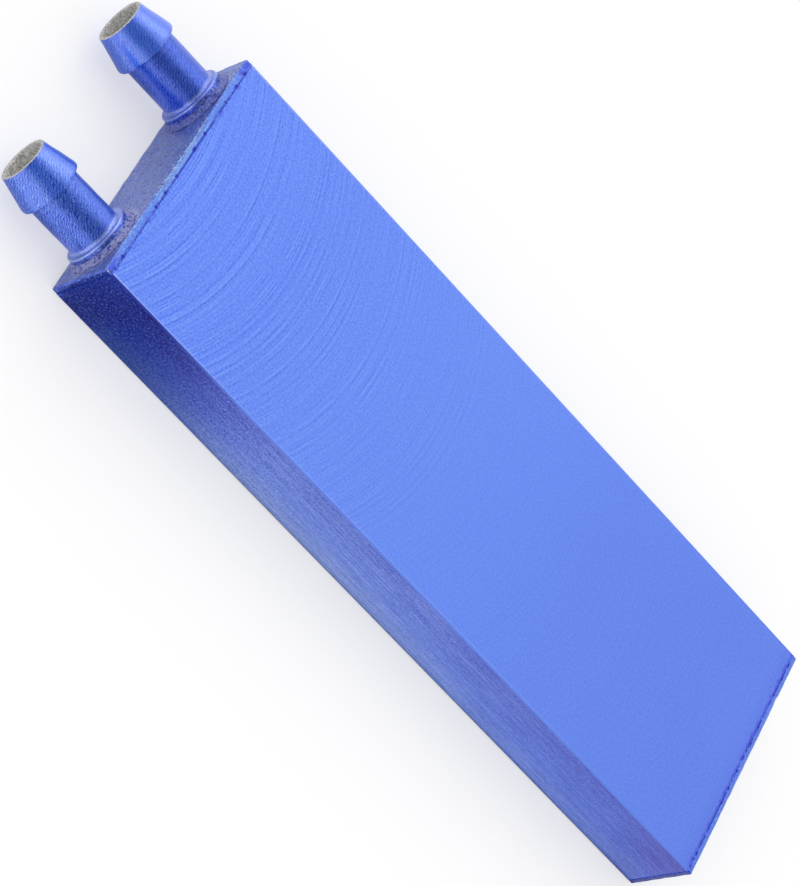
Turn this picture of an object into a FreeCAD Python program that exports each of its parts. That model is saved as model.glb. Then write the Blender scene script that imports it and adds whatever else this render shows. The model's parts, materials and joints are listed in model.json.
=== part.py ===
# Liquid cooling cold plate: an extruded aluminium bar with coolant channels inside, closed by a
# thin brazed cap at each end, with two turned hose barbs side by side on one of the caps.
#
# Coolant enters by one barb, runs along one lane of channels, turns round in the chamber at the
# far end and comes back along the other lane to the second barb. Both broad faces are machined
# flat, and either one is clamped against the part to be cooled.
#
# Frame: millimetres. The origin is the centre of the lower broad face, +X runs along the bar
# away from the barbs, +Y across it towards the outlet barb, and +Z up through the upper face.
import FreeCAD, Part
import os

# Extruded bar
BODY_LENGTH = 120.0
BODY_WIDTH = 40.0
BODY_HEIGHT = 12.0
LONG_EDGE_BREAK = 0.2       # the small bevel left on the bar's long edges
END_EDGE_BREAK = 0.06       # the bevel on the ends of the bar and inside each cap

# Coolant channels inside the bar
BROAD_WALL = 1.6            # metal between the channels and each broad face
SIDE_WALL = 2.0
PARTITION_THICKNESS = 2.0   # the wall that keeps the two lanes apart
WEBS_PER_LANE = 4           # full-height fins that carry the heat into the coolant
WEB_THICKNESS = 1.0
CHANNEL_CORNER_RADIUS = 0.5
HEADER_LENGTH = 12.0        # the open space behind each port, where the webs are milled away
TURN_LENGTH = 12.0          # the open space at the far end, where the partition is gone as well

# End caps
CAP_THICKNESS = 1.0         # what shows outside the bar
CAP_EDGE_RADIUS = 0.45
PLUG_DEPTH = 2.0            # how far the cap's plug reaches into the bar
PLUG_CLEARANCE = 0.05       # all round the plug, for the brazing metal to run into

# Brazed seam between the bar and each cap
SEAM_THICKNESS = 0.1
SEAM_RECESS = 0.08          # how far the seam lies below the bar's outer faces

# Hose barbs
BARB_INSET = 6.7            # from the bar's side to the nearer barb's axis
BARB_LENGTH = 15.3          # from the cap's outer face to the tip
BORE_RADIUS = 3.0
BORE_BEVEL = 0.2            # at the mouth of the bore
TIP_RADIUS = 3.55
TIP_BEVEL = 0.1
HEAD_RADIUS = 4.65          # the barb's widest point
HEAD_START = 9.95           # from the cap's outer face to the barb's shoulder
HEAD_LAND = 0.5             # the short cylinder between the shoulder and the cone
SHOULDER_BEVEL = 0.12
NECK_RADIUS = 3.9
NECK_ROOT_RADIUS = 0.5      # the hollow curve from the neck down to the collar
COLLAR_RADIUS = 4.75
COLLAR_THICKNESS = 1.6
COLLAR_BEVEL = 0.18
TAIL_RADIUS = 3.8           # the end that goes through the cap
TAIL_CLEARANCE = 0.03       # all round the tail, for the brazing metal

# Brazed ring round the foot of each barb
RING_WIDTH = 0.75           # how far it spreads over the cap, outwards from the collar
RING_HEIGHT = 0.75          # how far it climbs up the collar

# Worked out from the sizes above
HALF_LENGTH = BODY_LENGTH / 2
MID_HEIGHT = BODY_HEIGHT / 2
CAVITY_WIDTH = BODY_WIDTH - 2 * SIDE_WALL
CAVITY_HEIGHT = BODY_HEIGHT - 2 * BROAD_WALL
LANE_WIDTH = (CAVITY_WIDTH - PARTITION_THICKNESS) / 2
LANE_OFFSET = (LANE_WIDTH + PARTITION_THICKNESS) / 2
CHANNELS_PER_LANE = WEBS_PER_LANE + 1
CHANNEL_WIDTH = (LANE_WIDTH - WEBS_PER_LANE * WEB_THICKNESS) / CHANNELS_PER_LANE
CHANNEL_PITCH = CHANNEL_WIDTH + WEB_THICKNESS
CAP_INNER_FACE = HALF_LENGTH + SEAM_THICKNESS       # distance from the origin along X
CAP_OUTER_FACE = CAP_INNER_FACE + CAP_THICKNESS
BARB_OFFSET = BODY_WIDTH / 2 - BARB_INSET           # from the middle of the bar
SIDES = {"inlet": -1, "outlet": 1}

X_AXIS = FreeCAD.Vector(1, 0, 0)
ORIGIN = FreeCAD.Vector(0, 0, 0)
SAME_PLACE = 1e-6           # two distances closer than this are the same


def bar(x_start, x_end, width, height, y_centre=0.0):
    """A straight block along X, centred on the bar's mid height."""
    corner = FreeCAD.Vector(x_start, y_centre - width / 2, MID_HEIGHT - height / 2)
    return Part.makeBox(x_end - x_start, width, height, corner)


def edges_along_x(shape):
    """The straight edges of a shape that run along X."""
    found = []
    for edge in shape.Edges:
        start, end = edge.firstVertex().Point, edge.lastVertex().Point
        if abs(start.y - end.y) < SAME_PLACE and abs(start.z - end.z) < SAME_PLACE:
            found.append(edge)
    return found


def edges_at_x(shape, x):
    """The edges of a shape that lie wholly in the plane at x."""
    found = []
    for edge in shape.Edges:
        bounds = edge.BoundBox
        if abs(bounds.XMin - x) < SAME_PLACE and abs(bounds.XMax - x) < SAME_PLACE:
            found.append(edge)
    return found


def bevelled_bar(x_start, x_end):
    """A length of the bar's outer shape, solid, with its long edges bevelled."""
    block = bar(x_start, x_end, BODY_WIDTH, BODY_HEIGHT)
    return block.makeChamfer(LONG_EDGE_BREAK, edges_along_x(block))


def passage(x_start, x_end, width, y_centre=0.0):
    """A coolant passage: a block as high as the cavity, with its long corners rounded."""
    block = bar(x_start, x_end, width, CAVITY_HEIGHT, y_centre)
    return block.makeFillet(CHANNEL_CORNER_RADIUS, edges_along_x(block))


def channel_body():
    """The extruded bar, with its channels and the pockets that are milled into its two ends."""
    block = bar(-HALF_LENGTH, HALF_LENGTH, BODY_WIDTH, BODY_HEIGHT)
    for x in (-HALF_LENGTH, HALF_LENGTH):
        block = block.makeChamfer(END_EDGE_BREAK, edges_at_x(block, x))
    block = block.common(bevelled_bar(-HALF_LENGTH, HALF_LENGTH))

    header_end = -HALF_LENGTH + PLUG_DEPTH + HEADER_LENGTH
    turn_start = HALF_LENGTH - PLUG_DEPTH - TURN_LENGTH
    passages = [
        passage(-HALF_LENGTH, -HALF_LENGTH + PLUG_DEPTH, CAVITY_WIDTH),
        passage(turn_start, HALF_LENGTH, CAVITY_WIDTH),
    ]
    for side in SIDES.values():
        lane_centre = side * LANE_OFFSET
        passages.append(passage(-HALF_LENGTH, header_end, LANE_WIDTH, lane_centre))
        for channel in range(CHANNELS_PER_LANE):
            steps_from_middle = channel - (CHANNELS_PER_LANE - 1) / 2
            y = lane_centre + steps_from_middle * CHANNEL_PITCH
            passages.append(passage(-HALF_LENGTH, HALF_LENGTH, CHANNEL_WIDTH, y))
    return block.cut(passages[0].fuse(passages[1:])).removeSplitter()


def blank_end_cap():
    """The cap at the far end: a thin plate flush with the bar, with a plug on its inner side."""
    plate = bar(CAP_INNER_FACE, CAP_OUTER_FACE, BODY_WIDTH, BODY_HEIGHT)
    plate = plate.makeFillet(CAP_EDGE_RADIUS, edges_at_x(plate, CAP_OUTER_FACE))
    plate = plate.makeChamfer(END_EDGE_BREAK, edges_at_x(plate, CAP_INNER_FACE))
    plate = plate.common(bevelled_bar(CAP_INNER_FACE, CAP_OUTER_FACE))
    plug = bar(
        HALF_LENGTH - PLUG_DEPTH,
        CAP_INNER_FACE,
        CAVITY_WIDTH - 2 * PLUG_CLEARANCE,
        CAVITY_HEIGHT - 2 * PLUG_CLEARANCE,
    )
    plug = plug.makeFillet(CHANNEL_CORNER_RADIUS, edges_along_x(plug))
    return plate.fuse(plug).removeSplitter()


def port_end_cap():
    """The cap that carries the barbs: the same cap turned round, with a hole for each tail."""
    cap = blank_end_cap().mirror(ORIGIN, X_AXIS)
    depth = CAP_THICKNESS + SEAM_THICKNESS + PLUG_DEPTH
    for side in SIDES.values():
        start = FreeCAD.Vector(-CAP_OUTER_FACE, side * BARB_OFFSET, MID_HEIGHT)
        cap = cap.cut(Part.makeCylinder(TAIL_RADIUS + TAIL_CLEARANCE, depth, start, X_AXIS))
    return cap


def seam(side):
    """The brazing metal between the bar and one cap, a thin frame set back in the groove."""
    inner, outer = sorted((side * HALF_LENGTH, side * CAP_INNER_FACE))
    frame = bar(inner, outer, BODY_WIDTH - 2 * SEAM_RECESS, BODY_HEIGHT - 2 * SEAM_RECESS)
    return frame.cut(passage(inner, outer, CAVITY_WIDTH))


def turned(corners, side):
    """Turns a closed outline, of (distance outwards from the cap, radius), about a barb's axis."""
    points = [FreeCAD.Vector(-out, 0, radius) for out, radius in corners]
    face = Part.Face(Part.makePolygon(points + points[:1]))
    centre = FreeCAD.Vector(-CAP_OUTER_FACE, side * BARB_OFFSET, MID_HEIGHT)
    face.translate(centre)
    return face.revolve(centre, X_AXIS, 360)


def circle_edges(shape, out, radius):
    """The circular edges of a barb at one distance from the cap and of one radius."""
    found = []
    for edge in shape.Edges:
        if not isinstance(edge.Curve, Part.Circle):
            continue
        off_radius = abs(edge.Curve.Radius - radius)
        off_plane = abs(edge.Curve.Center.x + CAP_OUTER_FACE + out)
        if off_radius < SAME_PLACE and off_plane < SAME_PLACE:
            found.append(edge)
    return found


def hose_barb(side):
    """One turned barb: a tail through the cap, a collar on it, a neck and a tapered head."""
    tail_end = -(CAP_THICKNESS + SEAM_THICKNESS + PLUG_DEPTH)
    barb = turned(
        [
            (tail_end, BORE_RADIUS),
            (tail_end, TAIL_RADIUS),
            (0, TAIL_RADIUS),
            (0, COLLAR_RADIUS),
            (COLLAR_THICKNESS - COLLAR_BEVEL, COLLAR_RADIUS),
            (COLLAR_THICKNESS, COLLAR_RADIUS - COLLAR_BEVEL),
            (COLLAR_THICKNESS, NECK_RADIUS),
            (HEAD_START, NECK_RADIUS),
            (HEAD_START, HEAD_RADIUS - SHOULDER_BEVEL),
            (HEAD_START + SHOULDER_BEVEL, HEAD_RADIUS),
            (HEAD_START + HEAD_LAND, HEAD_RADIUS),
            (BARB_LENGTH - TIP_BEVEL, TIP_RADIUS),
            (BARB_LENGTH, TIP_RADIUS - TIP_BEVEL),
            (BARB_LENGTH, BORE_RADIUS + BORE_BEVEL),
            (BARB_LENGTH - BORE_BEVEL, BORE_RADIUS),
        ],
        side,
    )
    return barb.makeFillet(NECK_ROOT_RADIUS, circle_edges(barb, COLLAR_THICKNESS, NECK_RADIUS))


def braze_ring(side):
    """The brazing metal in the corner between one barb's collar and the cap."""
    return turned(
        [(0, COLLAR_RADIUS), (0, COLLAR_RADIUS + RING_WIDTH), (RING_HEIGHT, COLLAR_RADIUS)], side
    )


def parts():
    """Every sub-part by its node's name."""
    made = {
        "channel_body": channel_body(),
        "port_end_cap": port_end_cap(),
        "return_end_cap": blank_end_cap(),
        "port_end_seam": seam(-1),
        "return_end_seam": seam(1),
    }
    for name, side in SIDES.items():
        made[name + "_barb"] = hose_barb(side)
        made[name + "_braze_ring"] = braze_ring(side)
    return made


def main():
    os.makedirs("parts", exist_ok=True)
    for name, shape in parts().items():
        shape.exportStep("parts/" + name + ".step")
        print(name, "solids:", len(shape.Solids), "volume:", round(shape.Volume, 2), "mm3")


main()
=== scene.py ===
"""Dresses the liquid cooling cold plate: finishes for the bar and its caps, turned and blasted hose
barbs, lumpy brazing metal round them, pitted seams, a pale floor, soft light and the camera.

Sizes are in millimetres until a mesh is made, in the frame of the CAD model: X along the bar away
from the barbs, Y across it and Z up.
"""

import json
import math

import bmesh
import bpy
from mathutils import Matrix, Vector, noise


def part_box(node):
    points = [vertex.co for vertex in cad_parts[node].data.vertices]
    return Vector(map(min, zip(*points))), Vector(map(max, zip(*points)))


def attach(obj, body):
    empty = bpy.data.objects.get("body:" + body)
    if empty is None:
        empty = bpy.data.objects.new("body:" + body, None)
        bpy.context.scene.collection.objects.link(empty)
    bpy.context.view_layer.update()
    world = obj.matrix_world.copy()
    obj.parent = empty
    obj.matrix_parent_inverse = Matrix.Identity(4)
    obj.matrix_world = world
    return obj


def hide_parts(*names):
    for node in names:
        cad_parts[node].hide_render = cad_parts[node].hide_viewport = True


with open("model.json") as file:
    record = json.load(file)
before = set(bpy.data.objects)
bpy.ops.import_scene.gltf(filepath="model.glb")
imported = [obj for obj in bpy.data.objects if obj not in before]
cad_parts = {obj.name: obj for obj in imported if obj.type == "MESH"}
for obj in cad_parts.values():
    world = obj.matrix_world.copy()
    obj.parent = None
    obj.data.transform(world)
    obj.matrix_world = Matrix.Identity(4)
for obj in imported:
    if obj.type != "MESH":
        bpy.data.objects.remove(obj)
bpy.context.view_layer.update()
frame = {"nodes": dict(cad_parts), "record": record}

MM = 0.001
MOUNTS = {mount["name"]: mount for mount in frame["record"]["mounts"]}

# The bar and its ends, read from the CAD nodes
BODY_LOW, BODY_HIGH = (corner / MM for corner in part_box("channel_body"))
PORT_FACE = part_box("port_end_cap")[0].x / MM
BLANK_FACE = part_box("return_end_cap")[1].x / MM
SEAM_THICKNESS = (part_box("return_end_seam")[1].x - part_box("return_end_seam")[0].x) / MM
MID_HEIGHT = (BODY_LOW.z + BODY_HIGH.z) / 2
HALF_HEIGHT = (BODY_HIGH.z - BODY_LOW.z) / 2
HALF_WIDTH = (BODY_HIGH.y - BODY_LOW.y) / 2

# The barbs, read from the CAD nodes and the mounts
BARB_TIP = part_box("inlet_barb")[0].x / MM
BARB_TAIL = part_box("inlet_barb")[1].x / MM
COLLAR_RADIUS = (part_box("inlet_barb")[1].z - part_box("inlet_barb")[0].z) / 2 / MM
BORE_RADIUS = MOUNTS["inlet_port"]["dims"]["r_mm"]
HEAD_RADIUS = MOUNTS["inlet_hose_barb"]["dims"]["r_mm"]
BARB_OFFSET = abs(MOUNTS["inlet_port"]["pos_m"][1]) / MM
RING_RADIUS = (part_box("inlet_braze_ring")[1].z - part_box("inlet_braze_ring")[0].z) / 2 / MM
RING_HEIGHT = PORT_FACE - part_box("inlet_braze_ring")[0].x / MM

# The barb's other sizes, the same as the CAD model's
BARB_LENGTH = PORT_FACE - BARB_TIP
NECK_RADIUS = 3.9
TAIL_RADIUS = 3.8
TIP_RADIUS = 3.55
COLLAR_THICKNESS = 1.6
HEAD_START = 9.95
HEAD_LAND = 0.5

# The seam in the groove round each end of the bar
GROOVE_BEVEL = 0.06
SEAM_REACH = 2.0            # how far in it goes from the bar's outside
SEAM_CORNER = 0.2           # cut off each of its four corners

# How finely the new meshes are cut
BARB_DIVISION = 0.4
BARB_SPOKES = 160
RING_STEPS = 8
RING_SPOKES = 240
CAP_DIVISION = 0.4
SEAM_DIVISION = 0.12
MOUTH_STEPS = 6             # across the part of the seam that shows


# ---------------------------------------------------------------- shader arithmetic


class Value:
    """A number that changes over a surface, for use in plain arithmetic."""

    def __init__(self, tree, socket):
        self.tree = tree
        self.socket = socket

    def _math(self, operation, first, second=0.0):
        return self.tree.node(
            "ShaderNodeMath", {"operation": operation}, {0: first, 1: second}
        )

    def __add__(self, other):
        return self._math("ADD", self, other)

    def __radd__(self, other):
        return self._math("ADD", other, self)

    def __sub__(self, other):
        return self._math("SUBTRACT", self, other)

    def __rsub__(self, other):
        return self._math("SUBTRACT", other, self)

    def __mul__(self, other):
        return self._math("MULTIPLY", self, other)

    def __rmul__(self, other):
        return self._math("MULTIPLY", other, self)

    def __truediv__(self, other):
        return self._math("DIVIDE", self, other)

    def __abs__(self):
        return self._math("ABSOLUTE", self)

    def root(self):
        """The square root."""
        return self._math("SQRT", self)

    def larger(self, other):
        """The larger of this and another value."""
        return self._math("MAXIMUM", self, other)

    def swings(self):
        """Rises and falls evenly between 0 and 1, once for each 1 this grows by."""
        return self._math("PINGPONG", self, 0.5) * 2

    def rises(self, low, high):
        """0 where this is under low, 1 over high, and a smooth step between."""
        return self.tree.node(
            "ShaderNodeMapRange",
            {"interpolation_type": "SMOOTHSTEP"},
            {"Value": self, "From Min": low, "From Max": high, "To Min": 0.0, "To Max": 1.0},
        )

    def falls(self, low, high):
        """1 where this is under low, 0 over high, and a smooth step between."""
        return 1 - self.rises(low, high)


class Tree:
    """A node tree in the making."""

    def __init__(self, tree):
        self.tree = tree
        self.tree.nodes.clear()

    def node(self, kind, settings=None, inputs=None, output=0):
        """Adds any node and gives one of its outputs, where it has any: its settings are set first,
        then each input's value or link."""
        node = self.tree.nodes.new(kind)
        for name, value in (settings or {}).items():
            setattr(node, name, value)
        for name, value in (inputs or {}).items():
            self.feed(node.inputs[name], value)
        return Value(self, node.outputs[output]) if node.outputs else None

    def feed(self, socket, value):
        """Links a value to a socket, or sets a plain number, vector or colour on it."""
        if isinstance(value, Value):
            self.tree.links.new(value.socket, socket)
        elif socket.type == "RGBA" and len(value) == 3:
            socket.default_value = (*value, 1.0)
        else:
            socket.default_value = value

    def parts(self, vector):
        """The three components of a vector, as values."""
        split = self.node("ShaderNodeSeparateXYZ", inputs={0: vector}).socket.node
        return [Value(self, out) for out in split.outputs]


class Finish(Tree):
    """One material in the making."""

    def __init__(self, name):
        self.material = bpy.data.materials.new(name)
        self.material.use_nodes = True
        super().__init__(self.material.node_tree)
        self.place = self.node("ShaderNodeTexCoord", output="Object")
        self.facing = self.node("ShaderNodeNewGeometry", output="True Normal")

    def past_bar_end(self, x):
        """How far a place is past the nearer end of the bar, less than 0 on the bar."""
        return abs(x) - BODY_HIGH.x

    def contact_shade(self, z, facing_z):
        """1 on the lowest edge of an upright face, where it meets the floor, for painted shade."""
        return z.falls(0.12, 0.25) * abs(facing_z).falls(0.8, 0.95)

    def scaled(self, x, y, z):
        """The place in millimetres, times a scale along each axis."""
        return self.node(
            "ShaderNodeVectorMath",
            {"operation": "MULTIPLY"},
            {0: self.place, 1: (x / MM, y / MM, z / MM)},
        )

    def coordinates(self):
        """The place in millimetres along X, Y and Z, as three values."""
        return self.parts(self.scaled(1, 1, 1))

    def noise(self, x, y, z, detail=2.0, roughness=0.5):
        """Noise of about 0 to 1, with so many bumps to the millimetre along X, Y and Z."""
        return self.node(
            "ShaderNodeTexNoise",
            {"noise_dimensions": "3D"},
            {
                "Vector": self.scaled(x, y, z),
                "Scale": 1.0,
                "Detail": detail,
                "Roughness": roughness,
            },
        )

    def blots(self, per_mm, detail=2.0, roughness=0.5):
        """Noise of about 0 to 1 that is the same in all directions."""
        return self.noise(per_mm, per_mm, per_mm, detail, roughness)

    def lines(self, along, detail=2.0, roughness=0.6):
        """Noise that changes with one value only."""
        return self.node(
            "ShaderNodeTexNoise",
            {"noise_dimensions": "1D"},
            {"W": along, "Scale": 1.0, "Detail": detail, "Roughness": roughness},
        )

    def specks(self, per_mm):
        """Fine light and dark specks from -0.5 to 0.5, about that many to the millimetre."""
        return self.blots(per_mm, detail=3, roughness=0.75).rises(0.38, 0.62) - 0.5

    def seam_spots(self, y):
        """Where, across the plate, the seams have a darker spot."""
        return self.lines(y * 0.75 + 40, detail=1).rises(0.60, 0.67)

    def from_barb_axis(self, y, z):
        """How far a place is from the axis of the nearer barb."""
        across = abs(y) - BARB_OFFSET
        above = z - MID_HEIGHT
        return (across * across + above * above).root()

    def colour(self, red, green, blue):
        """A colour made of three values."""
        return self.node("ShaderNodeCombineColor", inputs={0: red, 1: green, 2: blue})

    def mix(self, amount, first, second):
        """A colour part of the way from the first to the second."""
        inputs = {0: amount, 6: first, 7: second}
        return self.node("ShaderNodeMix", {"data_type": "RGBA"}, inputs, output=2)

    def tinted(self, base, amount, blue_share=0.45, grain=None):
        """A colour made lighter or darker by a factor, its blue by only a share of that. grain is a
        fine change added to the factor, more in red and less in blue so that it looks neutral."""
        red, green, blue = amount, amount, (amount - 1) * blue_share + 1
        if grain is not None:
            red = red + grain * 1.6
            green = green + grain
            blue = blue + grain * 0.31
        settings = {"data_type": "RGBA", "blend_type": "MULTIPLY"}
        inputs = {0: 1.0, 6: base, 7: self.colour(red, green, blue)}
        return self.node("ShaderNodeMix", settings, inputs, output=2)

    def done(
        self,
        base,
        roughness,
        metallic,
        height=None,
        relief=0.02,
        coat=0.0,
        coat_ior=1.5,
        coat_roughness=0.3,
        others=None,
    ):
        """Adds the shader and returns the material. relief is the height's size in millimetres, and
        others holds any more of the shader's inputs."""
        inputs = {
            "Base Color": base,
            "Roughness": roughness,
            "Metallic": metallic,
            "Coat Weight": coat,
            "Coat IOR": coat_ior,
            "Coat Roughness": coat_roughness,
        }
        inputs.update(others or {})
        if height is not None:
            bump = {"Strength": 1.0, "Distance": relief * MM, "Height": height}
            inputs["Normal"] = self.node("ShaderNodeBump", inputs=bump)
        shader = self.node("ShaderNodeBsdfPrincipled", inputs=inputs)
        self.node("ShaderNodeOutputMaterial", inputs={"Surface": shader})
        return self.material


# ---------------------------------------------------------------- finishes

BROAD_BLUE = (0.118, 0.255, 0.98)
SIDE_BLUE = (0.122, 0.238, 0.82)
SIDE_FAR = (0.054, 0.163, 0.80)
# The next blue is painted shade: the long sides by the ports, the caps' short sides and the seam below
# the upper face
SHADED_SIDE_BLUE = (0.024, 0.090, 0.94)
# The next blue is painted light: the long sides greyer low down
SIDE_LOW = (0.205, 0.262, 0.60)
ROYAL_BLUE = (0.05, 0.08, 0.80)
CAP_SLATE = (0.102, 0.192, 0.66)
CAP_ASH = (0.160, 0.222, 0.60)
FOOT_ASH = (0.34, 0.37, 0.72)
FAR_ASH = (0.18, 0.225, 0.64)
EDGE_DEEP = (0.012, 0.05, 0.60)
HEAD_BLUE = (0.02, 0.155, 0.98)
NECK_BLUE = (0.045, 0.152, 0.84)
# The next blue is a painted highlight on the barbs' collars
COLLAR_HIGHLIGHT = (0.32, 0.43, 0.95)
BRAZE_DARK = (0.05, 0.08, 0.45)
BARE_METAL = (0.66, 0.655, 0.635)
# The next blue is a painted highlight along the bar's and the port cap's upper edges
EDGE_HIGHLIGHT = (0.32, 0.43, 0.96)
FLECK_BLUE = (0.16, 0.30, 1.0)
PIT_BLUE = (0.02, 0.04, 0.52)
DARK_BLUE = (0.01, 0.02, 0.18)
LIGHT_BLUE = (0.30, 0.50, 1.0)
FLECK_ASH = (0.42, 0.46, 0.72)

CUTTER_RADIUS = 42.0        # of the fly cutter whose marks cross the broad faces
CRESCENT_MIDDLE = 1.0       # across the plate, of the hollow worn into the port cap's upper edge
CRESCENT_HALF_LENGTH = 8.5
NICK_MIDDLE = 12.0          # across the plate, of the nick in the blank cap's upper edge


def cutter_arcs(finish, x, y, along):
    """Light and dark arcs left across a broad face by a fly cutter, clearest near the ports."""
    arc = x - (CUTTER_RADIUS**2 - y * y).root()
    coarse = finish.lines(arc * 0.8, detail=2) - 0.5
    fine = finish.lines(arc * 2.3, detail=3, roughness=0.75).rises(0.38, 0.62) - 0.5
    broken = finish.noise(0.25, 0.16, 0.1).rises(0.35, 0.65)
    fading = along.falls(6, 66) * 0.88 + 0.12
    return (coarse * 0.12 + fine * (0.32 + broken * 0.7)) * fading * (1 - y.rises(0, 12) * 0.28)


def drawn_streaks(finish, per_mm_along, per_mm_across):
    """Streaks along a long side from -0.5 to 0.5."""
    streaks = finish.noise(per_mm_along, per_mm_across, per_mm_across, roughness=0.6)
    return streaks.rises(0.35, 0.65) - 0.5


def side_blue(finish, z, along):
    """The blue of the long sides: deep by the ports as painted shade, duller at the far end, greyer
    low down as painted light.
    """
    blue = finish.mix(along.rises(50, 110), SIDE_BLUE, SIDE_FAR)
    # Painted shade: deep blue by the ports
    blue = finish.mix(along.falls(6, 39), blue, SHADED_SIDE_BLUE)
    # Painted light: greyer low down
    greyer = z.falls(1, 6) * (0.5 - along.falls(15, 40) * 0.32 - along.rises(50, 90) * 0.2)
    return finish.mix(greyer, blue, SIDE_LOW)


def side_light_and_shade(z, along):
    """How light the long sides are, about 1: darker at both ends, at the port end as painted shade,
    and lighter low down as painted light.
    """
    by_ports = along.falls(12, 24)
    tone = 1 + (MID_HEIGHT - z) * (0.058 + by_ports * 0.07) * along.rises(3, 9)
    tone = tone + z.falls(1, 6) * (by_ports * 0.1 + 0.1)
    tone = tone - along.falls(4.5, 9) * 0.42
    return tone - along.rises(45, 122) * 0.2 - along.rises(106, 120) * 0.4


def body_finish():
    """Blue anodising: fly-cut arcs on the two broad faces, drawn streaks on the long sides."""
    finish = Finish("anodised_bar")
    x, y, z = finish.coordinates()
    _, facing_y, facing_z = finish.parts(finish.facing)
    broad = abs(facing_z).rises(0.5, 0.75)
    side = 1 - broad
    along = x - BODY_LOW.x
    past_end = finish.past_bar_end(x)
    specks = finish.specks(3.0)

    arcs = cutter_arcs(finish, x, y, along)
    cloud = finish.noise(0.03, 0.05, 0.05, detail=1) - 0.5
    broad_tone = 1 + cloud * 0.08 - along.rises(50, 125) * 0.07
    broad_tone = broad_tone + along.rises(20, 40) * along.falls(52, 85) * 0.07
    broad_grain = arcs * 0.57 + specks * (along.falls(6, 66) * 0.2 + 0.21)

    drawn = drawn_streaks(finish, 0.10, 3.2)
    short = drawn_streaks(finish, 0.7, 5.0)
    side_grain = drawn * 0.5 + short * 0.4 + specks * (along.falls(10, 50) * 1.2 + 0.5)
    base = finish.mix(broad, side_blue(finish, z, along), BROAD_BLUE)
    tone = broad_tone * broad + side_light_and_shade(z, along) * side
    base = finish.tinted(base, tone, grain=broad_grain * broad + side_grain * side)

    # Deeper blue on the broad faces beside the seams, in blots and where the seams are spotted
    blots = finish.blots(1.1)
    by_blank_seam = along.rises(117.0, 119.8) * 0.25
    edge_blots = 0.45 + blots.rises(0.35, 0.5) * 0.5
    by_blank_seam = by_blank_seam + along.rises(119.5, 119.75) * edge_blots
    spots = finish.seam_spots(y) * past_end.rises(-0.30, -0.12)
    deep = past_end.rises(-0.9, -0.1) * blots.rises(0.54, 0.64) + by_blank_seam
    base = finish.mix(deep.larger(spots * 1.4) * broad * 0.7, base, ROYAL_BLUE)

    # Pale flecks on the long sides near the ports
    flecks = finish.blots(3.2, detail=1).rises(0.59, 0.65)
    flecks = flecks * along.falls(6, 40) * side
    base = finish.mix(flecks * 0.8, base, FLECK_BLUE)

    # A broken dark line on the broad faces, along the port end's seam
    by_port_seam = along.falls(1, 2)
    broken = finish.lines(y * 1.3 + 9).rises(0.35, 0.55) * 0.4 + y.rises(-16, 4) * 0.15 + 0.45
    edge_line = past_end.rises(-0.16, -0.11) * by_port_seam * broken
    edge_line = edge_line.larger(spots * by_port_seam * 0.9)
    base = finish.mix(edge_line * broad, base, PIT_BLUE)

    # The broken edges along the bar: deep blue by the ports, then as light as the broad faces
    bevel = abs(facing_y).rises(0.3, 0.6) * abs(facing_z).rises(0.3, 0.6)
    base = finish.mix(bevel * along.falls(8, 28), finish.mix(bevel, base, BROAD_BLUE), EDGE_DEEP)

    # A painted highlight in a line along the upper face's edges
    wear_and_highlight = along.falls(1.5, 4) * 0.45 + along.falls(6, 30) * 0.3 + along.falls(70, 112) * 0.3
    wear_and_highlight = wear_and_highlight * abs(y).rises(HALF_WIDTH - 0.48, HALF_WIDTH - 0.36) * facing_z.rises(0.8, 0.95)
    wear_and_highlight = wear_and_highlight * (specks * 0.6 + 0.9)
    base = finish.mix(wear_and_highlight, base, EDGE_HIGHLIGHT)
    # Painted shade along the bottom edge, where the bar meets the floor
    base = finish.mix(finish.contact_shade(z, facing_z), base, DARK_BLUE)

    height = (arcs + specks * 0.3) * broad + (drawn + short * 0.6 + specks * 0.6) * side
    metallic = 0.85 - wear_and_highlight * 0.4 - flecks * 0.3 - bevel * along.rises(8, 28) * 0.6
    return finish.done(base, 0.38, metallic, height=height, relief=0.012, coat=1.0)


def crescent(y):
    """How deep the crescent worn into the port cap is: 1 at its middle and 0 at its ends."""
    off = (y - CRESCENT_MIDDLE) / CRESCENT_HALF_LENGTH
    return 1 - off * off


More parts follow.
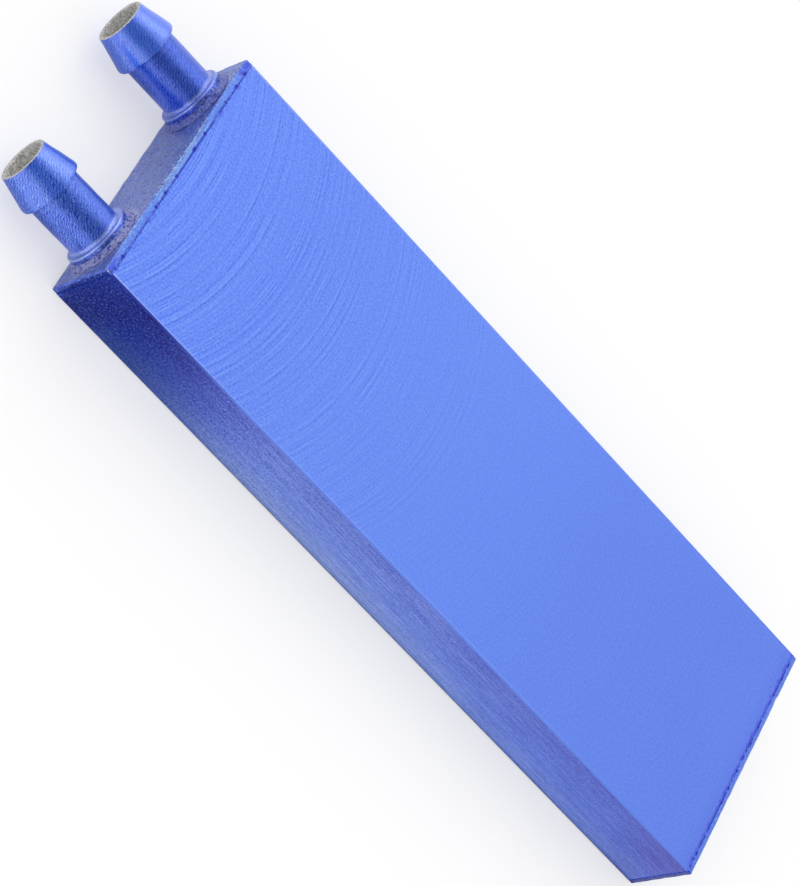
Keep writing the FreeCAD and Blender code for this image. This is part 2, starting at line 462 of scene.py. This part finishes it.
def cap_finish():
    """Blue anodising over a blasted plate: ashy on the face, deep blue at the corners."""
    finish = Finish("anodised_cap")
    x, y, z = finish.coordinates()
    facing_x, facing_y, facing_z = finish.parts(finish.facing)
    face = abs(facing_x).rises(0.72, 0.90)
    side = abs(facing_y).rises(0.6, 0.95)
    not_side = 1 - side
    by_ports = x.falls(-1, 1)
    on_blank = x.rises(1, 2)
    depth = BLANK_FACE - abs(x)
    specks = finish.specks(3.5)
    patches = finish.blots(0.9, detail=3)

    # The rim: broad blue above and below; on the short sides deep blue as painted shade, blotted, and
    # lighter low down by the ports as painted light
    corner = abs(y).rises(HALF_WIDTH - 3.5, HALF_WIDTH - 0.8)
    deep = (patches - 0.15 + corner * 0.3).rises(0.48, 0.60) * (0.25 + 0.6 * by_ports)
    rim = finish.mix(deep, BROAD_BLUE, ROYAL_BLUE)
    blots = finish.blots(3.0, roughness=0.6)
    front = finish.mix(blots.rises(0.42, 0.58), ROYAL_BLUE, BROAD_BLUE)
    # Painted shade: the short sides take the long sides' shaded blue, darker still
    band = finish.tinted(finish.mix(depth.rises(0.22, 0.38), front, SHADED_SIDE_BLUE), 0.55, 1.0)
    band = finish.mix(blots.rises(0.53, 0.62) * by_ports * 0.8, band, BROAD_BLUE)
    band = finish.mix(blots.falls(0.38, 0.46) * by_ports * 0.7, band, DARK_BLUE)
    # Painted light: lighter low down by the ports
    band = finish.mix(z.falls(0.8, 2.4) * by_ports * 0.6, band, BROAD_BLUE)
    band = finish.mix(on_blank * 0.6, band, DARK_BLUE)
    rim = finish.mix(side, rim, band)
    # Painted shade along the blank cap's outer edge
    rim = finish.mix(depth.falls(0.1, 0.3) * on_blank * 0.6, rim, DARK_BLUE)
    # A painted highlight along the port cap's upper corner edge
    near_corner = (facing_y * facing_z).falls(-0.3, -0.2)
    top_edge_highlight = z.rises(BODY_HIGH.z - 0.5, BODY_HIGH.z - 0.1) * near_corner
    rim = finish.mix(top_edge_highlight * by_ports * (specks + 0.8), rim, EDGE_HIGHLIGHT)

    # Two painted highlight lines along the port cap's upper edge, which follow its crescent
    bowl = crescent(y).larger(0) * by_ports
    in_bowl = bowl.rises(0, 0.3)
    from_edge = depth - bowl * 0.36
    pale = z.rises(11.2, 11.6) * from_edge.falls(0.12, 0.24) * (0.55 + in_bowl * 0.45)
    pale = pale.larger(in_bowl * depth.rises(0.66, 0.74) * depth.falls(0.86, 0.94) * 0.55)
    rim = finish.mix(pale * by_ports * not_side, rim, LIGHT_BLUE)
    rim = finish.mix(finish.seam_spots(y) * depth.rises(0.7, 0.85) * not_side, rim, PIT_BLUE)

    nick = abs(y - NICK_MIDDLE).falls(0.15, 0.45) * depth.falls(0.4, 0.6) * on_blank
    rim = finish.mix(nick * not_side * 0.8, rim, FLECK_ASH)

    # The face: slate and ash in patches, paler round the barbs' feet
    by_foot = finish.from_barb_axis(y, z).falls(5.3, 6.6) * (1 - y.rises(0, 5) * 0.9) * by_ports
    plate = finish.mix(patches.rises(0.35, 0.65), CAP_SLATE, CAP_ASH)
    foot = finish.mix((patches + specks * 0.2).rises(0.34, 0.46), ROYAL_BLUE, FOOT_ASH)
    plate = finish.mix(by_foot, plate, foot)
    flecks = bowl.rises(0, 0.4) * z.rises(10.4, 11.6) * (specks + patches * 0.5).rises(0.30, 0.50)
    plate = finish.mix(flecks * 0.35, plate, FLECK_ASH)

    base = finish.mix(face, rim, plate)
    grain = specks * (0.7 + face * 0.5 + by_foot * 0.5 + side * 0.9)
    base = finish.tinted(base, 1.2 - face * 0.2 - on_blank * 0.2 + grain)
    # Painted shade along the bottom edge, where the cap meets the floor
    base = finish.mix(finish.contact_shade(z, facing_z), base, DARK_BLUE)
    height = specks + patches * 2
    roughness = 0.42 + face * 0.1
    return finish.done(base, roughness, 0.75 - face * 0.2, height=height, relief=0.025, coat=0.7)


def barb_finish():
    """Blue anodising over a blasted, turned surface, like fine orange peel."""
    finish = Finish("anodised_barb")
    x, y, z = finish.coordinates()
    _, facing_y, _ = finish.parts(finish.facing)
    out = PORT_FACE - x
    radius = finish.from_barb_axis(y, z)
    on_outlet = y.rises(-1, 1)
    head = out.rises(HEAD_START, HEAD_START + 0.2)

    # Orange peel, patchy, and smoother on the outlet and wherever the surface faces +Y
    bend = finish.blots(1.3, detail=3, roughness=0.6)
    peel = ((x * 0.63 + y * 0.42 + z * 0.65) * 2.8 + bend * 3.2).swings().rises(0.3, 0.9)
    patchy = finish.blots(1.3).rises(0.36, 0.60)
    smoother = (1 - facing_y.rises(-0.4, 0.4) * 0.7) * (1 - on_outlet * 0.4)
    peel = (peel - 0.4) * (patchy * 0.8 + 0.2) * smoother * out.rises(2.0, 2.3)
    specks = finish.specks(4)

    # Turning marks on the neck, up to the head's shoulder
    turning = finish.lines(out * 3.0, detail=2, roughness=0.7) - 0.5
    by_shoulder = out.rises(HEAD_START - 3.0, HEAD_START - 0.6)
    rings = turning * by_shoulder * out.falls(HEAD_START, HEAD_START + 0.1)

    # Painted highlights on the collar's step and lip, ashy and dark in blotches at its foot
    step = out.rises(1.45, 1.55) * out.falls(1.9, 2.2) * radius.falls(4.6, 4.65)
    root = step * radius.falls(4.1, 4.25)
    lip = out.rises(1.3, 1.42) * out.falls(1.65, 1.75) * radius.rises(4.50, 4.58)
    foot = out.falls(COLLAR_THICKNESS - 0.45, COLLAR_THICKNESS - 0.2)
    blotch = finish.blots(2.6, detail=3, roughness=0.6)
    base = finish.mix(head, NECK_BLUE, HEAD_BLUE)
    base = finish.mix((step * 0.5).larger(root * 0.8).larger(lip), base, COLLAR_HIGHLIGHT)
    base = finish.mix(foot * blotch.rises(0.53, 0.60) * 0.8, base, FOOT_ASH)
    base = finish.mix(foot * blotch.falls(0.44, 0.51), base, BRAZE_DARK)

    # Painted shade on the outlet barb's neck: a darker blue and a weaker coat
    shaded_outlet_neck = on_outlet * (1 - head)
    grain = peel * 1.75 + specks * 0.45 + rings * 1.1
    base = finish.tinted(base, 1 - shaded_outlet_neck * 0.2, grain=grain)
    height = peel + specks * 0.3 + rings + foot * blotch * 2
    coat = (0.27 + head * 0.22 - foot * 0.12) * (1 + peel * 0.9) * (1 - shaded_outlet_neck * 0.25)
    return finish.done(
        base,
        0.28,
        0.6 - head * 0.1,
        height=height,
        relief=0.016,
        coat=coat,
        coat_ior=3.4,
        coat_roughness=0.22,
    )


def bore_finish():
    """Bare metal left by the drill, dull and mottled."""
    finish = Finish("bare_bore")
    mottle = finish.blots(2.8, detail=4, roughness=0.8).rises(0.3, 0.7)
    facing_x, _, _ = finish.parts(finish.facing)
    rim = abs(facing_x).rises(0.3, 0.8)
    base = finish.tinted(BARE_METAL, (0.52 + mottle * 1.1) * (1 - rim * 0.2), 0.9)
    return finish.done(base, 0.55, 0.3, height=mottle, relief=0.05)


def braze_finish():
    """Brazing metal under the anodising, mottled from ash to dark blue and rough."""
    finish = Finish("mottled_braze")
    _, y, _ = finish.coordinates()
    blotch = finish.blots(1.7, detail=4, roughness=0.75)
    specks = finish.specks(4)
    ash = finish.mix(y.rises(0, 5), FOOT_ASH, FAR_ASH)
    base = finish.mix(blotch.rises(0.40, 0.50), BRAZE_DARK, ash)
    base = finish.tinted(base, 1 + specks * 0.7, 0.8)
    return finish.done(base, 0.5, 0.6, height=blotch * 2 + specks, relief=0.04, coat=0.4)


def seam_finish():
    """Brazing metal in the groove: deep blue in its pits, as light as the bar where flush."""
    finish = Finish("seam_braze")
    x, y, z = finish.coordinates()
    pit = finish.node("ShaderNodeAttribute", {"attribute_name": "pit"}, output="Fac")
    blotch = finish.blots(2.0, detail=3)
    spots = finish.seam_spots(y)
    on_top = z.rises(BODY_HIGH.z - 0.3, BODY_HIGH.z - 0.1)
    light = finish.mix(blotch.rises(0.4, 0.65), BROAD_BLUE, ROYAL_BLUE)
    # Painted shade below the upper face: the sides' shaded blue, darker still
    below = finish.tinted(SHADED_SIDE_BLUE, 0.4 + blotch.rises(0.5, 0.6) * 0.8, 1.0)
    base = finish.mix(on_top, below, light)
    base = finish.mix(pit.rises(0.1, 0.6).larger(spots * on_top), base, PIT_BLUE)

    # On the port cap's side of the groove it is flush and as light as the cap
    by_cap = finish.past_bar_end(x).rises(0.03, 0.05) * on_top * x.falls(-1, 1) * (1 - spots)
    base = finish.mix(by_cap * 0.85, base, BROAD_BLUE)
    return finish.done(base, 0.5, 0.6, height=blotch, relief=0.02, coat=by_cap * 0.7)


# ---------------------------------------------------------------- meshes


def smooth_step(value, low, high):
    """0 under low, 1 over high, and a smooth step between."""
    share = min(1.0, max(0.0, (value - low) / (high - low)))
    return share * share * (3 - 2 * share)


def rough(place, scale, octaves=2):
    """Noise of about 0 to 1 at a place in millimetres, with that many bumps to the millimetre."""
    return min(1.0, max(0.0, 0.5 + noise.fractal(place * scale, 1.0, 2.0, octaves) * 0.7))


def rounded(corners, steps=6):
    """A closed outline with its corners rounded. Each corner is (out, radius, rounding)."""
    points = []
    count = len(corners)
    for index, (out, radius, rounding) in enumerate(corners):
        here = Vector((out, radius))
        if not rounding:
            points.append(here)
            continue
        to_before = (Vector(corners[index - 1][:2]) - here).normalized()
        to_after = (Vector(corners[(index + 1) % count][:2]) - here).normalized()
        half_angle = to_before.angle(to_after) / 2
        centre = here + (to_before + to_after).normalized() * (rounding / math.sin(half_angle))
        start = here + to_before * (rounding / math.tan(half_angle)) - centre
        end = here + to_after * (rounding / math.tan(half_angle)) - centre
        turn = start.angle_signed(end)
        for step in range(steps + 1):
            spoke = start.copy()
            spoke.rotate(Matrix.Rotation(-turn * step / steps, 2))
            points.append(centre + spoke)
    return points


def divided(points, longest):
    """A closed outline with no side longer than the given length."""
    finer = []
    for index, start in enumerate(points):
        end = points[(index + 1) % len(points)]
        pieces = max(1, math.ceil((end - start).length / longest))
        for step in range(pieces):
            finer.append(start.lerp(end, step / pieces))
    return finer


def new_piece(name, mesh, materials, node):
    """Makes a smooth piece that rides with the plate and stands for one CAD node."""
    piece = bpy.data.objects.new(name, mesh)
    bpy.context.scene.collection.objects.link(piece)
    for material in materials:
        mesh.materials.append(material)
    for polygon in mesh.polygons:
        polygon.use_smooth = True
    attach(piece, "root")
    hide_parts(node)


def joined_rings(name, rings, material_of=None):
    """A mesh of rings of places in millimetres, each ring joined to the next and the last to the
    first. material_of picks a face's material from the place of its middle."""
    mesh = bpy.data.meshes.new(name)
    work = bmesh.new()
    made = [[work.verts.new(place * MM) for place in ring] for ring in rings]
    for step, ring in enumerate(made):
        following = made[(step + 1) % len(made)]
        for index in range(len(ring)):
            after = (index + 1) % len(ring)
            face = work.faces.new((ring[index], ring[after], following[after], following[index]))
            if material_of:
                face.material_index = material_of(face.calc_center_median() / MM)
    bmesh.ops.recalc_face_normals(work, faces=work.faces)
    work.to_mesh(mesh)
    work.free()
    return mesh


def turned_rings(outline, axis_y, around, lump):
    """Rings of places made by turning an outline of (out from the cap, radius) about a barb's axis.
    lump gives how far each place is moved off that."""
    rings = []
    for step in range(around):
        angle = math.tau * step / around
        spoke = Vector((0, math.cos(angle), math.sin(angle)))
        ring = []
        for out, radius in outline:
            place = Vector((PORT_FACE - out, axis_y, MID_HEIGHT)) + spoke * radius
            ring.append(place + lump(place, spoke, out, radius))
        rings.append(ring)
    return rings


def barb(name, side, anodised, bare):
    """One hose barb, turned from its tail in the cap to its tip, bare in the bore and on the rim."""
    axis_y = side * BARB_OFFSET
    tail = PORT_FACE - BARB_TAIL
    outline = rounded(
        [
            (tail, BORE_RADIUS, 0),
            (tail, TAIL_RADIUS, 0),
            (0, TAIL_RADIUS, 0),
            (0, COLLAR_RADIUS, 0),
            (COLLAR_THICKNESS, COLLAR_RADIUS, 0.25),
            (COLLAR_THICKNESS, NECK_RADIUS, 0.5),
            (HEAD_START, NECK_RADIUS, 0.12),
            (HEAD_START, HEAD_RADIUS, 0.22),
            (HEAD_START + HEAD_LAND, HEAD_RADIUS, 0.5),
            (BARB_LENGTH, TIP_RADIUS, 0.12),
            (BARB_LENGTH, BORE_RADIUS, 0.2),
        ]
    )

    def uneven(place, spoke, out, radius):
        outside = smooth_step(radius, BORE_RADIUS + 0.3, NECK_RADIUS)
        return spoke * (rough(place, 0.45) - 1) * 0.05 * outside

    def bare_or_anodised(middle):
        radius = math.hypot(middle.y - axis_y, middle.z - MID_HEIGHT)
        at_tip = PORT_FACE - middle.x > BARB_LENGTH - 0.06
        return 1 if radius < BORE_RADIUS + 0.2 or at_tip else 0

    rings = turned_rings(divided(outline, BARB_DIVISION), axis_y, BARB_SPOKES, uneven)
    mesh = joined_rings(name + "_turned", rings, bare_or_anodised)
    new_piece(name + "_turned", mesh, [anodised, bare], name)


def braze_ring(name, side, finish):
    """The lumpy ring of brazing metal in the corner between a collar and the cap."""

    def lumps(place, spoke, out, radius):
        if radius < COLLAR_RADIUS or out <= 0:
            return Vector((0, 0, 0))
        outward = (spoke + Vector((-1, 0, 0))).normalized()
        return outward * (rough(place, 1.5, 3) - 0.5) * 0.18

    # Part hollow, part straight, from the collar down to the cap
    inside = COLLAR_RADIUS - 0.05
    width = RING_RADIUS - COLLAR_RADIUS
    outline = [Vector((RING_HEIGHT, inside))]
    for step in range(RING_STEPS + 1):
        share = step / RING_STEPS
        turn = math.pi / 2 * share
        hollow = Vector((RING_HEIGHT * (1 - math.sin(turn)), RING_RADIUS - width * math.cos(turn)))
        straight = Vector((RING_HEIGHT * (1 - share), RING_RADIUS - width * (1 - share)))
        outline.append(hollow.lerp(straight, 0.6))
    outline.append(Vector((0, inside)))

    rings = turned_rings(outline, side * BARB_OFFSET, RING_SPOKES, lumps)
    mesh = joined_rings(name + "_lumpy", rings)
    new_piece(name + "_lumpy", mesh, [finish], name)


def uneven_cap(name, outward, finish):
    """A cap of the CAD node's shape, cut finer, with lumpy faces and uneven edges.

    outward is -1 for the cap with the barbs and 1 for the blank one. Nothing stands proud of the
    CAD shape: every place moves inwards.
    """
    mesh = bpy.data.meshes.new(name + "_blasted")
    work = bmesh.new()
    work.from_mesh(frame["nodes"][name].data)
    bmesh.ops.remove_doubles(work, verts=work.verts, dist=1e-7)
    outer = -PORT_FACE if outward < 0 else BLANK_FACE
    thickness = outer - BODY_HIGH.x - SEAM_THICKNESS
    to_side = round(HALF_WIDTH / CAP_DIVISION)
    to_top = round(2 * HALF_HEIGHT / CAP_DIVISION)
    cuts = [(Vector((0, 1, 0)), y * CAP_DIVISION) for y in range(1 - to_side, to_side)]
    cuts += [(Vector((0, 0, 1)), z * CAP_DIVISION) for z in range(1, to_top)]
    cuts += [(Vector((outward, 0, 0)), outer - depth) for depth in (0.2, 0.4, 0.6, 0.8)]
    for across, reach in cuts:
        geometry = work.verts[:] + work.edges[:] + work.faces[:]
        bmesh.ops.bisect_plane(
            work, geom=geometry, plane_co=across * reach * MM, plane_no=across, dist=1e-7
        )
    for vert in work.verts:
        place = vert.co / MM
        depth = outer - outward * place.x
        if depth <= thickness + 0.01:
            vert.co = blasted(place, outward, depth) * MM
    work.to_mesh(mesh)
    work.free()
    new_piece(name + "_blasted", mesh, [finish], name)


def blasted(place, outward, depth):
    """Where a place on a cap ends up. depth is how far it lies behind the cap's face."""
    height = place.z - MID_HEIGHT
    on_face = 1 - smooth_step(depth, 0.0, 0.5)
    on_width = smooth_step(abs(place.y), HALF_WIDTH - 0.5, HALF_WIDTH)
    on_height = smooth_step(abs(height), HALF_HEIGHT - 0.5, HALF_HEIGHT)
    if outward < 0:
        wear_and_highlight = max(0.0, crescent(place.y)) * 0.35
        cut_back = wear_and_highlight * smooth_step(height, HALF_HEIGHT - 0.9, HALF_HEIGHT)
    else:
        nick = max(0.0, 1 - ((place.y - NICK_MIDDLE) / 0.7) ** 2) * 0.22
        cut_back = nick * smooth_step(height, HALF_HEIGHT - 0.5, HALF_HEIGHT)
    moved = place.copy()
    moved.x -= outward * on_face * (rough(moved, 0.6, 3) * 0.10 + cut_back)
    elsewhere = Vector((7.3, 1.9, 4.4))
    moved.y -= math.copysign(on_width * rough(moved + elsewhere, 0.5, 3) * 0.10, moved.y)
    moved.z -= math.copysign(on_height * rough(moved - elsewhere, 0.5, 3) * 0.06, height)
    return moved


def end_outline(longest):
    """Places (y, z) round the edge of the bar's end, no further apart than the given length."""
    corners = [
        Vector((-HALF_WIDTH, BODY_LOW.z)),
        Vector((HALF_WIDTH, BODY_LOW.z)),
        Vector((HALF_WIDTH, BODY_HIGH.z)),
        Vector((-HALF_WIDTH, BODY_HIGH.z)),
    ]
    return divided(corners, longest)


def under_edge(edge, depth):
    """The place (y, z) at a depth inside the bar's outline that belongs to a place on its edge."""
    reach_y = HALF_WIDTH - depth
    reach_z = HALF_HEIGHT - depth
    y = edge.x * reach_y / HALF_WIDTH
    z = (edge.y - MID_HEIGHT) * reach_z / HALF_HEIGHT
    over = abs(y) + abs(z) - (reach_y + reach_z - SEAM_CORNER)
    if over > 0:
        y -= math.copysign(over / 2, y)
        z -= math.copysign(over / 2, z)
    return y, MID_HEIGHT + z


def seam(name, outward, finish):
    """The brazing metal between the bar and one cap: flush in places, pitted in others."""
    inner = BODY_HIGH.x
    outer = inner + SEAM_THICKNESS
    mouth_low = inner - GROOVE_BEVEL
    mouth_width = SEAM_THICKNESS + 2 * GROOVE_BEVEL
    rings = []
    pits = []
    for edge in end_outline(SEAM_DIVISION):
        # Dashes, long stretches and spots of pits, and the groove's wander, each from its own noise
        place = Vector((outward * inner, edge.x, edge.y))
        dashes = smooth_step(rough(place, 1.7, 2), 0.44, 0.58)
        stretch = smooth_step(rough(place + Vector((31, 0, 0)), 0.16, 1), 0.70, 0.86)
        spots = smooth_step(rough(place + Vector((0, 0, 47)), 0.9, 2), 0.62, 0.74)
        wander = (rough(place - Vector((17, 0, 0)), 0.5, 2) - 0.5) * 0.06
        on_top = smooth_step(edge.y, BODY_HIGH.z - 0.5, BODY_HIGH.z)
        by_corner = smooth_step(abs(edge.x), HALF_WIDTH - 2.2, HALF_WIDTH - 1.0)
        shown = (0.25 + 0.75 * on_top) * (1 - 0.9 * by_corner)
        pit = max(dashes * 0.8, stretch * 0.9, spots) * shown
        spread = max(spots, dashes * 0.8) * shown

        ring = [(outer, GROOVE_BEVEL), (outer, SEAM_REACH), (inner, SEAM_REACH), (inner, GROOVE_BEVEL)]
        for step in range(MOUTH_STEPS + 1):
            x = mouth_low + mouth_width * step / MOUTH_STEPS
            if 0 < step < MOUTH_STEPS:
                sunk = 0.01 + 0.06 * pit * math.sin(math.pi * step / MOUTH_STEPS) ** 2
                ring.append((x + wander, sunk))
            else:
                ring.append((x, 0.0))
        rings.append([Vector((outward * x, *under_edge(edge, depth))) for x, depth in ring])
        # How pitted each place in the ring looks: nearer the bar at the port end
        if outward < 0:
            pits += [0, 0, 0, 0, pit, pit, pit, pit * 0.5, 0, 0, 0]
        else:
            pits += [0, 0, 0, 0, 0, spread, pit, pit, pit, spread, 0]
    mesh = joined_rings(name + "_pitted", rings)
    attribute = mesh.attributes.new("pit", "FLOAT", "POINT")
    attribute.data.foreach_set("value", pits)
    new_piece(name + "_pitted", mesh, [finish], name)


# ---------------------------------------------------------------- stage, light and camera


def flat_sheet(name, low, high, height):
    """A flat sheet between two corners, facing up. Its sizes are in metres."""
    mesh = bpy.data.meshes.new(name)
    corners = [(low[0], low[1], 0), (high[0], low[1], 0), (high[0], high[1], 0), (low[0], high[1], 0)]
    mesh.from_pydata(corners, [], [(0, 1, 2, 3)])
    sheet = bpy.data.objects.new(name, mesh)
    sheet.location.z = height
    bpy.context.scene.collection.objects.link(sheet)
    return sheet


def plain_floor():
    """A pale floor that the plate lies on, lit up where it is seen directly or in the metal."""
    floor = flat_sheet("floor", (-3, -3), (3, 3), -0.00005)
    finish = Finish("pale_floor")
    seen = finish.node("ShaderNodeLightPath", output="Is Camera Ray")
    mirrored = finish.node("ShaderNodeLightPath", output="Is Glossy Ray")
    through = finish.node("ShaderNodeLightPath", output="Is Transmission Ray")
    glow = (mirrored.larger(through) * 0.25).larger(seen * 0.49)
    light = {"Emission Color": finish.colour(glow, glow, glow), "Emission Strength": 1.0}
    pale = 0.75 - seen * 0.20
    paint = finish.colour(pale, pale, pale)
    floor.data.materials.append(finish.done(paint, 0.9, 0.0, others=light))


def dark_card():
    """A see-through card on the floor, dark beside the port end of the plate, in a strip along its
    foot and under its barbs. Only the metal's gloss shows it."""
    card = flat_sheet("dark_card", (-0.080, -0.06), (0.061, 0.02), 0.0002)
    finish = Finish("card_black")
    x, y, _ = finish.coordinates()
    off_side = -HALF_WIDTH - y
    outside = off_side.rises(-0.2, -0.1)
    beside = x.falls(-50, -20) * x.rises(-61.5, -58.5) * off_side.falls(16, 32) * outside
    by_plate = x.rises(-61.5, -61) * off_side.falls(0.15, 0.4) * outside
    off_barb = abs(abs(y + 5.5) - BARB_OFFSET)
    under = off_barb.falls(3, 8) * x.falls(-66, -63) * x.rises(-80, -77)
    dark = (beside * 0.87).larger(by_plate * 0.6).larger(under * 0.45)
    black = (0.01, 0.01, 0.02)
    card.data.materials.append(finish.done(black, 0.9, 0.0, others={"Alpha": dark}))
    card.visible_camera = False
    card.visible_diffuse = False
    card.visible_shadow = False
    card.visible_transmission = False


def studio_world():
    """A soft white dome with a broad lamp beyond the plate's far side, and a dark strip overhead,
    along the plate, that only the metal's gloss shows."""
    world = bpy.data.worlds.new("soft_dome")
    bpy.context.scene.world = world
    world.use_nodes = True
    sky = Tree(world.node_tree)
    place = sky.node("ShaderNodeTexCoord", output="Generated")

    def towards(x, y, z):
        aim = Vector((x, y, z)).normalized()
        settings = {"operation": "DOT_PRODUCT"}
        return sky.node("ShaderNodeVectorMath", settings, {0: place, 1: aim}, output="Value")

    along = towards(1, 0, 0)
    round_bar = towards(0, -0.375, 0.927) / (1 - along * along).larger(0.01).root()
    mirrored = sky.node("ShaderNodeLightPath", output="Is Glossy Ray")
    level = 1.13 - 0.14 * along + 0.8 * towards(-0.05, 0.71, 0.70).rises(0.90, 0.995)
    level = level * (1 - 0.88 * mirrored * round_bar.rises(0.70, 0.98))
    dome = sky.node("ShaderNodeBackground", inputs={"Strength": level})
    sky.node("ShaderNodeOutputWorld", inputs={"Surface": dome})


def camera():
    """A long lens, high over the barbs and to the left, rolled so that the plate runs down."""
    data = bpy.data.cameras.new("camera")
    data.lens = 157.4
    data.sensor_width = 36.0
    right = Vector((0.6333, 0.4220, 0.6487)).normalized()
    back = Vector((-0.3886, -0.5515, 0.7381)).normalized()
    up = back.cross(right).normalized()
    turn = Matrix((up.cross(back), up, back)).transposed()
    place = Matrix.Translation((-0.21251, -0.28915, 0.39195))
    holder = bpy.data.objects.new("camera", data)
    bpy.context.scene.collection.objects.link(holder)
    holder.matrix_world = place @ turn.to_4x4()
    bpy.context.scene.camera = holder


def dress():
    """Gives the bar its finish and adds the pieces that stand for the other nodes."""
    body = frame["nodes"]["channel_body"]
    body.data.materials.clear()
    body.data.materials.append(body_finish())
    capped, brazed = cap_finish(), seam_finish()
    for end, outward in (("port_end", -1), ("return_end", 1)):
        uneven_cap(end + "_cap", outward, capped)
        seam(end + "_seam", outward, brazed)
    anodised, bare, ashy = barb_finish(), bore_finish(), braze_finish()
    for port, side in (("inlet", -1), ("outlet", 1)):
        barb(port + "_barb", side, anodised, bare)
        braze_ring(port + "_braze_ring", side, ashy)


dress()
plain_floor()
dark_card()
studio_world()
camera()
bpy.context.scene.view_settings.view_transform = "Standard"
